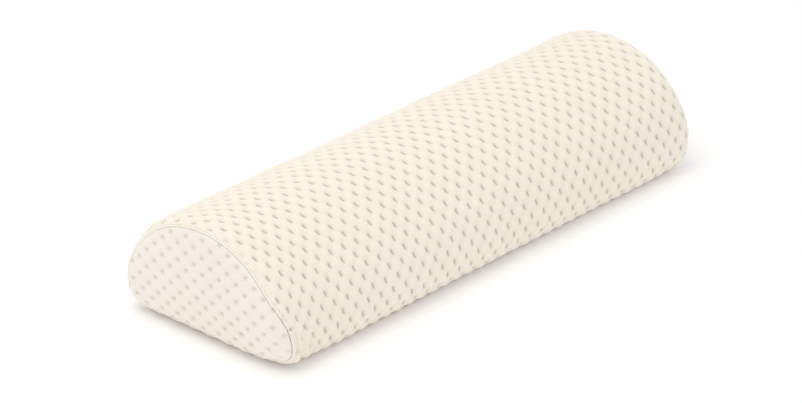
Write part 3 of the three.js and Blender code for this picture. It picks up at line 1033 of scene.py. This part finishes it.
def capsule():
    """Points of one stitch along x, thick in the middle and bulging outwards, with two tips."""
    angle = np.linspace(0, 2 * np.pi, STITCH_AROUND, endpoint=False)
    lift = np.linspace(-np.pi / 2, np.pi / 2, STITCH_RINGS + 2)[1:-1][:, None] + 0 * angle
    thick = STITCH_THICK * np.cos(lift) ** 0.6
    y = thick * np.cos(angle) + STITCH_BULGE * np.cos(lift)
    rings = np.stack([STITCH_HALF * np.sin(lift), y, thick * np.sin(angle)], -1)
    return np.concatenate([rings.reshape(-1, 3), [[-STITCH_TIP, -0.1, 0], [STITCH_TIP, -0.1, 0]]])


def stitch_row(name, node):
    """A row of capsules that sits in the cloth beside the zip, each about 3 mm long."""
    low, high = box_mm(node)
    count = int((high[0] - low[0]) / STITCH_PITCH)
    x = low[0] + STITCH_PITCH * (np.arange(count) + 0.5)
    height = (low[2] + high[2]) / 2
    y = section(rear_length(height))[0] - STITCH_SUNK
    middle = np.stack([x, 0 * x + y, 0 * x + height], 1)
    one = capsule()
    shift = (np.arange(count) * len(one))[:, None, None]
    quads = (grid_faces(STITCH_RINGS, STITCH_AROUND, True) + shift).reshape(-1, 4)
    tips = (end_fans(STITCH_RINGS, STITCH_AROUND) + shift).reshape(-1, 3)
    places = (middle[:, None] + one).reshape(-1, 3)
    return closed_piece(name, places, [*quads.tolist(), *tips.tolist()])


stitches = {
    "zip_stitching_upper": stitch_row("tape_stitches_upper", "zip_stitching_upper"),
    "zip_stitching_lower": stitch_row("tape_stitches_lower", "zip_stitching_lower"),
}
print("stitch faces:", len(stitches["zip_stitching_upper"].data.polygons))

# %% [markdown]
# ## Metal parts
#
# The slider, its pull and the stops are cast and pressed metal, so no edge on them is sharp. The
# CAD model has their true sizes with sharp edges. A copy of each is merged into clean faces and
# given a small rounded bevel, which catches the light as a real casting's edge does.

# %% Rounded copies of the metal parts
MERGE = 1e-5  # metres between points that are one
FLAT_ANGLE, SHARP_ANGLE = 0.02, math.radians(35)
BEVEL_STEPS = 3


def rounded_copy(node, name, width):
    """A copy of a CAD node with its loose triangles merged, flat areas joined and its edges
    rounded."""
    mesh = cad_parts[node].data.copy()
    mesh.materials.clear()
    work = bmesh.new()
    work.from_mesh(mesh)
    bmesh.ops.remove_doubles(work, verts=work.verts, dist=MERGE)
    bmesh.ops.dissolve_limit(work, angle_limit=FLAT_ANGLE, verts=work.verts, edges=work.edges)
    work.to_mesh(mesh)
    work.free()
    made = bpy.data.objects.new(name, mesh)
    bpy.context.scene.collection.objects.link(made)
    edge = made.modifiers.new("rounded edges", "BEVEL")
    edge.width = width * MM
    edge.segments = BEVEL_STEPS
    edge.limit_method = "ANGLE"
    edge.angle_limit = SHARP_ANGLE
    edge.harden_normals = True
    mesh.polygons.foreach_set("use_smooth", np.ones(len(mesh.polygons), dtype=bool))
    return made


# each part's new name and the width of its bevel in millimetres
metal_edges = {
    "zip_slider": ("slider_casting", 0.22),
    "zip_pull": ("pull_tab", 0.32),
    "zip_top_stop_upper": ("top_stop_upper", 0.3),
    "zip_top_stop_lower": ("top_stop_lower", 0.3),
    "zip_bottom_stop": ("bottom_stop", 0.3),
}
metal_parts = {node: rounded_copy(node, *edge) for node, edge in metal_edges.items()}
print(len(metal_parts), "metal parts")

# %% [markdown]
# ## The care label
#
# A ribbon of satin is folded in two and caught in the seam beside the zip. It is blank here. Its
# two plies hang a little apart and curl slightly, which a sine along the drop gives, and the fold
# joins them at the bottom.

# %% Folded label
label_low, label_high = box_mm("care_label")
LABEL_PLY = 0.3
LABEL_DROP = label_high[2] - label_low[2]
LABEL_INSET = 0.2  # the ribbon's edges stand inside the CAD's by this much
LABEL_STAND, LABEL_FOLD = 0.62, 0.45  # the fold's distance from the cover, and its radius
LABEL_HANG, LABEL_CURL, LABEL_PINCH = 0.985, 0.12, 0.15
LABEL_STEPS, LABEL_COLUMNS = 60, 24


def folded_ribbon():
    """A closed strip: down the outer ply, round the fold and up the inner ply, then back at one
    ply's depth. Its distance from the cover is the cosine of the way along it."""
    along = np.linspace(0, 1, LABEL_STEPS)
    drop = np.where(along < 0.5, along, 1 - along) * 2
    fold = LABEL_FOLD * np.cos(np.pi * along)
    middle_y = label_low[1] + LABEL_STAND + fold * (1 - LABEL_PINCH * np.sin(np.pi * drop))
    z = label_high[2] - LABEL_DROP * LABEL_HANG * drop
    down_y, down_z = np.gradient(middle_y), np.gradient(z)
    size = np.hypot(down_y, down_z)
    out_y, out_z = -down_z / size, down_y / size
    left, right = label_low[0] + LABEL_INSET, label_high[0] - LABEL_INSET
    across = np.linspace(left, right, LABEL_COLUMNS)[:, None]
    curl = LABEL_CURL * np.sin(np.linspace(0, np.pi, LABEL_COLUMNS))[:, None] * drop
    outer, inner = (
        np.stack([across + 0 * curl, middle_y + out_y * ply + curl, z + out_z * ply + 0 * curl], -1)
        for ply in (LABEL_PLY / 2, -LABEL_PLY / 2)
    )
    return closed_piece("ribbon_label", *closed_panel(outer, inner[:, ::2]))


label = folded_ribbon()
print("label", round(LABEL_DROP, 1), "mm long when folded")

# %% [markdown]
# ## Finishes as expressions
#
# A material is a small program of nodes. Wiring nodes by hand is slow to read, so one class stands
# for the value that comes out of a socket. Plus, minus, times and divide on it add the Math nodes,
# and one method adds any other node: its type, its settings, and then what its sockets hold.


# %% Values
class Value:
    """A number that flows through a material. Arithmetic on it adds Math nodes to the same
    material."""

    def __init__(self, finish, socket):
        self.finish, self.socket = finish, socket

    def math(self, operation, *others, first=None):
        """A Math node on this value and others. With first, that stands before this value."""
        held = (self, *others) if first is None else (first, self)
        return self.finish.value("ShaderNodeMath", {"operation": operation}, dict(enumerate(held)))

    def __add__(self, other):
        return self.math("ADD", other)

    __radd__ = __add__

    def __sub__(self, other):
        return self.math("SUBTRACT", other)

    def __rsub__(self, other):
        return self.math("SUBTRACT", first=other)

    def __mul__(self, other):
        return self.math("MULTIPLY", other)

    __rmul__ = __mul__

    def __truediv__(self, other):
        return self.math("DIVIDE", other)

    def __rtruediv__(self, other):
        return self.math("DIVIDE", first=other)

    def nearest(self, period):
        """Signed distance to the nearest whole multiple of the period."""
        return self - (self / period).math("ROUND") * period

    def clamped(self):
        """This value held between 0 and 1."""
        return self.math("MAXIMUM", 0.0).math("MINIMUM", 1.0)

    def wave(self, period, push=None, kind="SINE"):
        """A sine of this value that repeats after the period. push is added to its angle."""
        angle = self * (2 * math.pi / period)
        return (angle if push is None else angle + push).math(kind)


print("plus, minus, times and divide add nodes")


# %% Finishes
class Finish:
    """A material with one Principled shader. Constants are set on the shader's own sockets."""

    def __init__(self, name, **constants):
        self.material = bpy.data.materials.new(name)
        self.material.use_nodes = True
        self.tree = self.material.node_tree
        self.shader = self.tree.nodes["Principled BSDF"]
        for socket, value in constants.items():
            title = socket.replace("_", " ").title().replace("Ior", "IOR")
            self.shader.inputs[title].default_value = value

    def node(self, kind, settings=None, values=None):
        """Adds a node: settings first, then each socket's constant or link."""
        made = self.tree.nodes.new(kind)
        for key, value in (settings or {}).items():
            setattr(made, key, value)
        for key, value in (values or {}).items():
            if isinstance(value, Value):
                self.tree.links.new(value.socket, made.inputs[key])
            else:
                made.inputs[key].default_value = value
        return made

    def value(self, kind, settings=None, values=None, output=0):
        """Adds a node and gives the value of one of its outputs."""
        return Value(self, self.node(kind, settings, values).outputs[output])

    def place(self):
        """The point of the object being shaded, in metres."""
        return self.value("ShaderNodeTexCoord", output="Object")

    def parts(self, vector):
        """The three numbers of a vector."""
        node = self.node("ShaderNodeSeparateXYZ", None, {0: vector})
        return [Value(self, out) for out in node.outputs]

    def noise(self, scale, detail=2.0, vector=None):
        """Soft random values, about 0.3 to 0.7."""
        values = {"Vector": vector or self.place(), "Scale": scale, "Detail": detail}
        return self.value("ShaderNodeTexNoise", None, values)

    def mixed(self, share, first, second):
        """A colour between two colours."""
        values = {0: share, 6: first, 7: second}
        return self.value("ShaderNodeMix", {"data_type": "RGBA"}, values, 2)

    def drive(self, colour, roughness, height, relief, strength=1.0):
        """Links what changes over the surface to the shader: its colour, its roughness and a
        bump."""
        values = {"Height": height, "Distance": relief, "Strength": strength}
        bump = self.value("ShaderNodeBump", None, values)
        for title, value in (("Base Color", colour), ("Roughness", roughness), ("Normal", bump)):
            self.tree.links.new(value.socket, self.shader.inputs[title])
        return self.material


def rgb(*levels):
    """A colour from 0 to 255 as it looks on a screen, turned into the linear numbers that a shader
    needs."""
    shares = [level / 255 for level in levels]
    linear = [c / 12.92 if c <= 0.04045 else ((c + 0.055) / 1.055) ** 2.4 for c in shares]
    return (*linear, 1.0)


print("a middle grey is", round(rgb(128, 128, 128)[0], 3), "to a shader")

# %% [markdown]
# ## The knit's finish
#
# The jersey is a matt warm cream. Inside each slot the filling is missing and the two layers lie
# together, so the cloth there is thinner and greyer, and the slot's grey also holds painted shade
# of its hollow. The low ground between the bubbles is darkened with painted shade too. Fine loops
# of yarn run over the bubbles in columns about a millimetre apart. All of it is drawn from the two
# pattern lengths stored on the mesh, so colour and shape stay on each other.

# %% Knit
# the grey of a slot is partly its thinner cloth and partly painted shade of its hollow
PIT_END = 1.3  # how softly the grey of a slot ends
WALE, COURSE = 1.15, 0.95  # the yarn's columns and rows, in pattern units


def knit_finish(name, cream, slot_grey_and_shade, slot, slot_grey_and_shade_share, valley_shade_share):
    """Cream jersey with slots. The slot mask is the same bell curve of distances that dents the
    mesh. cream holds two tones of cloth, the tone of its loops and a painted shade for the low
    ground between bubbles. The slot colour is the slot's greyer cloth with painted shade of its
    hollow."""
    half_long, half_wide, slant = slot
    knit = Finish(
        name, roughness=0.9, sheen_weight=0.12, sheen_roughness=0.6, specular_ior_level=0.18
    )
    cloth = knit.value("ShaderNodeAttribute", {"attribute_name": "cloth"}, output="Vector")
    u, v, shows = knit.parts(cloth)
    mask = 0.0
    for shift_u, shift_v in ((0, 0), (PITCH / 2, ROW_PAIR / 2)):
        row = (v - shift_v).nearest(ROW_PAIR)
        du = ((u - shift_u).nearest(PITCH) + row * slant) / half_wide
        dv = (row.math("ABSOLUTE") - half_long).math("MAXIMUM", 0.0) / PIT_END
        mask = (du * du + dv * dv).math("MULTIPLY", -1.0).math("EXPONENT") + mask
    mask = (mask * shows).clamped()

    columns = u.wave(WALE)
    courses = v.wave(COURSE, columns * 0.9)
    loops = columns * 0.3 + courses * 0.25 + knit.noise(900.0, 1.0) * 0.5
    cloudy = knit.noise(9.0, 2.0)
    base = knit.mixed((cloudy * 1.6 - 0.3).clamped(), cream[0], cream[1])
    tinted = knit.mixed((loops * 0.12).clamped(), base, cream[2])
    swing = u.wave(PITCH, kind="COSINE") * v.wave(ROW_PAIR, kind="COSINE")
    # painted shade: the low ground between the bubbles is mixed towards the fourth, darker cream
    tinted = knit.mixed((swing * 0.5 + 0.5) * shows * valley_shade_share, tinted, cream[3])
    return knit.drive(
        # painted shade: the slot colour is the slot's greyer cloth darkened further as shade in its
        # hollow
        colour=knit.mixed(mask * slot_grey_and_shade_share, tinted, slot_grey_and_shade),
        roughness=0.86 + 0.1 * cloudy,
        height=loops * 0.35 - mask * 0.3,
        relief=0.00035,
        strength=0.7,
    )


side_knit = knit_finish(
    "dimple_knit",
    # the fourth colour is painted shade for the low ground between the bubbles
    cream=[rgb(251, 244, 231), rgb(249, 241, 227), rgb(243, 232, 214), rgb(226, 214, 197)],
    # the slot colour: its thinner, greyer cloth with painted shade of the hollow
    slot_grey_and_shade=rgb(196, 184, 164),
    slot=SIDE_SLOT,
    slot_grey_and_shade_share=0.8,
    valley_shade_share=0.26,
)
end_knit = knit_finish(
    "dimple_knit_turned",
    # the fourth colour is painted shade for the low ground between the bubbles
    cream=[rgb(250, 243, 234), rgb(248, 240, 230), rgb(241, 230, 217), rgb(226, 214, 202)],
    # the slot colour: its thinner, greyer cloth with painted shade of the hollow
    slot_grey_and_shade=rgb(206, 194, 182),
    slot=END_SLOT,
    slot_grey_and_shade_share=0.52,
    valley_shade_share=0.12,
)
print("two knit finishes")

# %% [markdown]
# ## Thread, tape, nylon, metal, satin, jersey and foam
#
# The small parts each get what their real finish shows close up. Thread and coil are smooth fibres
# with a slight gloss. Tape is a tight weave in a chevron. The metal is nickel plate with fine
# scratches, a little duller where hands rub it. The label's satin has long crosswise floats, and
# the foam is full of small open cells. Each finish is a pattern between 0 and 1, which mixes two
# colours, shifts the roughness and gives a bump. Their periods are in metres.


# %% Thread, tape and nylon
def thread_finish():
    """Fine random fibres."""
    thread = Finish("polyester_thread", specular_ior_level=0.35, sheen_weight=0.2)
    fibre = thread.noise(5200.0, 2.0)
    share = (fibre * 1.4 - 0.2).clamped()
    colour = thread.mixed(share, rgb(243, 234, 214), rgb(226, 214, 190))
    return thread.drive(colour, 0.55 + 0.2 * fibre, fibre, 0.0001)


def tape_finish():
    """Ribs along the tape, pushed sideways by the height of a folded sine, which makes chevrons."""
    tape = Finish("woven_tape", specular_ior_level=0.3, sheen_weight=0.15)
    x, _, z = tape.parts(tape.place())
    slant = z.wave(0.004).math("ABSOLUTE") * 0.0011
    ribs = (x + slant).wave(0.0009) * 0.5 + 0.5
    yarn = z.wave(0.0007) * 0.25 + 0.5
    weave = ribs * 0.7 + yarn * 0.3
    colour = tape.mixed(weave.clamped(), rgb(214, 203, 180), rgb(240, 231, 212))
    return tape.drive(colour, 0.8 + 0.1 * tape.noise(300.0), weave, 0.00025)


def coil_finish():
    """Smooth nylon with a faint grain."""
    nylon = Finish("nylon_coil", specular_ior_level=0.5)
    grain = nylon.noise(1500.0, 3.0)
    colour = nylon.mixed(grain, rgb(238, 228, 206), rgb(226, 214, 188))
    return nylon.drive(colour, 0.34 + 0.16 * grain, grain, 0.00003)


thread_material, tape_material, coil_material = thread_finish(), tape_finish(), coil_finish()
print("thread, tape and coil")


# %% Metal, satin, jersey and foam
def nickel_finish():
    """Noise stretched along the zip for scratches, and a coarser noise for wear."""
    nickel = Finish("nickel_plate", metallic=1.0, anisotropic=0.2)
    values = {"Vector": nickel.place(), "Scale": (60.0, 900.0, 900.0)}
    scratches = nickel.noise(4.0, 6.0, nickel.value("ShaderNodeMapping", None, values))
    worn = nickel.noise(420.0, 3.0)
    share = (worn * 1.5 - 0.3).clamped()
    colour = nickel.mixed(share, rgb(206, 205, 200), rgb(184, 181, 174))
    return nickel.drive(colour, 0.16 + 0.22 * scratches + 0.1 * worn, scratches, 0.00003)


def satin_finish():
    """Long floats across the ribbon, with a few slubs."""
    satin = Finish("satin_ribbon", specular_ior_level=0.5, sheen_weight=0.3)
    _, _, z = satin.parts(satin.place())
    floats = z.wave(0.0005) * 0.5 + 0.5
    slubs = satin.noise(700.0, 2.0)
    share = (floats * 0.5 + slubs * 0.5).clamped()
    colour = satin.mixed(share, rgb(250, 250, 248), rgb(232, 231, 228))
    return satin.drive(colour, 0.38 + 0.2 * slubs, floats, 0.00008)


def jersey_finish():
    """Columns of loops, and rows that swing with them."""
    jersey = Finish("plain_jersey", specular_ior_level=0.2, sheen_weight=0.2)
    x, y, z = jersey.parts(jersey.place())
    wales = x.wave(0.0011)
    loops = wales * 0.25 + (y + z).wave(0.0009, wales) * 0.25 + 0.5
    colour = jersey.mixed(loops.clamped(), rgb(238, 236, 230), rgb(250, 249, 245))
    return jersey.drive(colour, 0.85 + 0.08 * jersey.noise(60.0), loops, 0.0002)


def foam_finish():
    """Small cells, and a slow change of shade."""
    foam = Finish("open_cell_foam", specular_ior_level=0.2)
    cells = foam.value("ShaderNodeTexVoronoi", None, {"Vector": foam.place(), "Scale": 900.0})
    large = foam.noise(14.0, 3.0)
    colour = foam.mixed((cells * 1.3).clamped(), rgb(226, 212, 150), rgb(247, 240, 200))
    colour = foam.mixed(large * 0.3, colour, rgb(240, 226, 168))
    return foam.drive(colour, 0.88 + 0.08 * large, cells, 0.0004)


nickel_material, satin_material = nickel_finish(), satin_finish()
jersey_material, foam_material = jersey_finish(), foam_finish()
print("nickel, satin, jersey and foam")

# %% [markdown]
# ## Give each piece its finish and its body
#
# A piece says which CAD node it stands for, which body it moves with and which finish it gets. The
# cover's panels are padded, and the label is a sheet that was cut flat and folded. The two tapes
# are flat enough as the CAD has them, so they only get a finish.


# %% Hand the pieces to the frame
def hand_over(made, node, material, body="cover"):
    """Gives a new piece its material, hides the CAD node that it replaces and hangs it on the body
    that it rides on.
    """
    made.data.materials.clear()
    made.data.materials.append(material)
    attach(made, body)
    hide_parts(node)


panels = {
    "dome_panel": (dome, "cover_knit", side_knit),
    "base_panel": (base, "cover_knit", side_knit),
    "near_end_panel": (near_end, "end_knit", end_knit),
    "far_end_panel": (far_end, "end_knit", end_knit),
}
for node, (made, slot, material) in panels.items():
    hand_over(made, node, material)
for node, made in {**threads, **stitches}.items():
    hand_over(made, node, thread_material)
for node, made in coils.items():
    hand_over(made, node, coil_material)
moving = {"zip_slider": "slider", "zip_pull": "pull"}
for node, made in metal_parts.items():
    hand_over(made, node, nickel_material, moving.get(node, "cover"))
hand_over(label, "care_label", satin_material)
for node, (made, slot) in inside.items():
    hand_over(made, node, foam_material if slot == "foam_core" else jersey_material)
for node in ("zip_tape_upper", "zip_tape_lower"):
    tape_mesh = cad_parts[node].data
    tape_mesh.materials.clear()
    tape_mesh.materials.append(tape_material)

# %% [markdown]
# ## Floor and light
#
# The pillow lies on a plain pale table in soft light. One wide lamp high above, a little towards
# the near end and the rear, gives the top and the near end their brightness and leaves the long
# front side in soft shade. A strong pale sky all round keeps that shade light and the shadows
# faint. Several lamps could do the same, but each would add a shadow of its own.


# %% Studio
def area_lamp(name, place, watts, size, colour, aim_height=0.05):
    """A square lamp that points at the pillow."""
    data = bpy.data.lights.new(name, "AREA")
    data.energy = watts
    data.size = size
    data.color = colour
    lamp = bpy.data.objects.new(name, data)
    lamp.location = place
    aim = np.array([0, 0, aim_height]) - np.array(place)
    level = math.hypot(aim[0], aim[1])
    lamp.rotation_euler = (math.atan2(level, -aim[2]), 0, math.atan2(-aim[0], aim[1]))
    bpy.context.scene.collection.objects.link(lamp)


def plain_floor(half=8, below=0.15):
    """A wide flat square just under the pillow: half its side in metres, and its depth in
    millimetres."""
    corners = np.array([[-half, -half, 0], [half, -half, 0], [half, half, 0], [-half, half, 0]])
    floor = make_piece("floor", corners / MM - [0, 0, below], [[0, 1, 2, 3]])
    paint = Finish(
        "white_table",
        roughness=0.9,
        specular_ior_level=0.1,
        base_color=rgb(252, 252, 252),
        emission_color=(0.97, 0.98, 1, 1),
        emission_strength=0.06,
    )
    floor.data.materials.append(paint.material)


plain_floor()
area_lamp("key", place=(-0.62, 0.2, 2.4), watts=16.5, size=1.6, colour=(1.0, 0.995, 0.9))
world = bpy.data.worlds.new("studio")
bpy.context.scene.world = world
world.use_nodes = True
sky = world.node_tree.nodes["Background"].inputs
sky["Color"].default_value = (0.985, 0.98, 1.0, 1)
sky["Strength"].default_value = 0.815
bpy.context.scene.view_settings.view_transform = "Standard"
print("one lamp and a pale sky")
